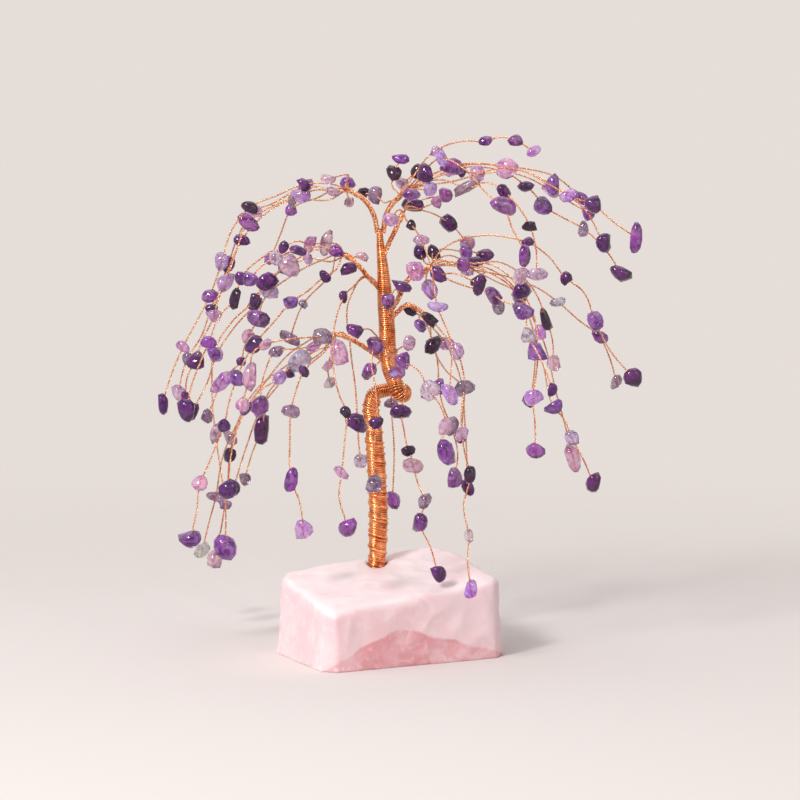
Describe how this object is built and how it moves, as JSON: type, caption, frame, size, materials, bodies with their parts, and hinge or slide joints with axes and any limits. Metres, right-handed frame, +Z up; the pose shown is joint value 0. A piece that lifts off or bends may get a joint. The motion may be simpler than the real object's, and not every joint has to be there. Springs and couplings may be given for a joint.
{
  "type": "gemstone tree ornament",
  "caption": "Weeping wire tree with tumbled amethyst chips on twisted copper strands, a curled wound trunk, and a sawn rose quartz base.",
  "frame": {"origin": "on the flat underside of the base stone, midway between its left and right corners", "axes": "+Z up along the trunk, -Y towards the viewer, +X to the right as seen from the front"},
  "size_m": [0.2026, 0.1166, 0.2163],
  "materials": {
    "rose_quartz": "tumbled rose quartz, pale pink with white veins, satin gloss",
    "copper_wire": "bright copper wire, twisted, lightly aged",
    "copper_strand": "fine pale copper wire in twisted pairs, bright",
    "clear_glue": "hard clear glue, glossy",
    "deep_amethyst": "tumbled amethyst chip, very deep violet, polished",
    "violet_amethyst": "tumbled amethyst chip, violet, polished",
    "pale_amethyst": "tumbled amethyst chip, pale lilac to pink, polished",
    "smoky_quartz": "tumbled smoky to clear quartz chip, polished"
  },
  "bodies": {
    "root": {"base_stone": "rose_quartz", "crown_right_bough": "copper_wire", "crown_right_deep_chips": "deep_amethyst", "crown_right_pale_chips": "pale_amethyst", "crown_right_strands": "copper_strand", "crown_right_violet_chips": "violet_amethyst", "front_bough": "copper_wire", "front_deep_chips": "deep_amethyst", "front_pale_chips": "pale_amethyst", "front_smoky_chips": "smoky_quartz", "front_strands": "copper_strand", "front_violet_chips": "violet_amethyst", "low_left_bough": "copper_wire", "low_left_deep_chips": "deep_amethyst", "low_left_pale_chips": "pale_amethyst", "low_left_smoky_chips": "smoky_quartz", "low_left_strands": "copper_strand", "low_left_violet_chips": "violet_amethyst", "low_right_bough": "copper_wire", "low_right_deep_chips": "deep_amethyst", "low_right_pale_chips": "pale_amethyst", "low_right_smoky_chips": "smoky_quartz", "low_right_strands": "copper_strand", "low_right_violet_chips": "violet_amethyst", "mid_left_bough": "copper_wire", "mid_left_deep_chips": "deep_amethyst", "mid_left_pale_chips": "pale_amethyst", "mid_left_smoky_chips": "smoky_quartz", "mid_left_strands": "copper_strand", "mid_left_violet_chips": "violet_amethyst", "mid_right_bough": "copper_wire", "mid_right_deep_chips": "deep_amethyst", "mid_right_pale_chips": "pale_amethyst", "mid_right_smoky_chips": "smoky_quartz", "mid_right_strands": "copper_strand", "mid_right_violet_chips": "violet_amethyst", "socket_glue": "clear_glue", "top_left_bough": "copper_wire", "top_left_deep_chips": "deep_amethyst", "top_left_pale_chips": "pale_amethyst", "top_left_smoky_chips": "smoky_quartz", "top_left_strands": "copper_strand", "top_left_violet_chips": "violet_amethyst", "top_right_bough": "copper_wire", "top_right_deep_chips": "deep_amethyst", "top_right_pale_chips": "pale_amethyst", "top_right_smoky_chips": "smoky_quartz", "top_right_strands": "copper_strand", "top_right_violet_chips": "violet_amethyst", "trunk_core": "copper_wire", "trunk_winding": "copper_wire"}
  },
  "joints": []
}
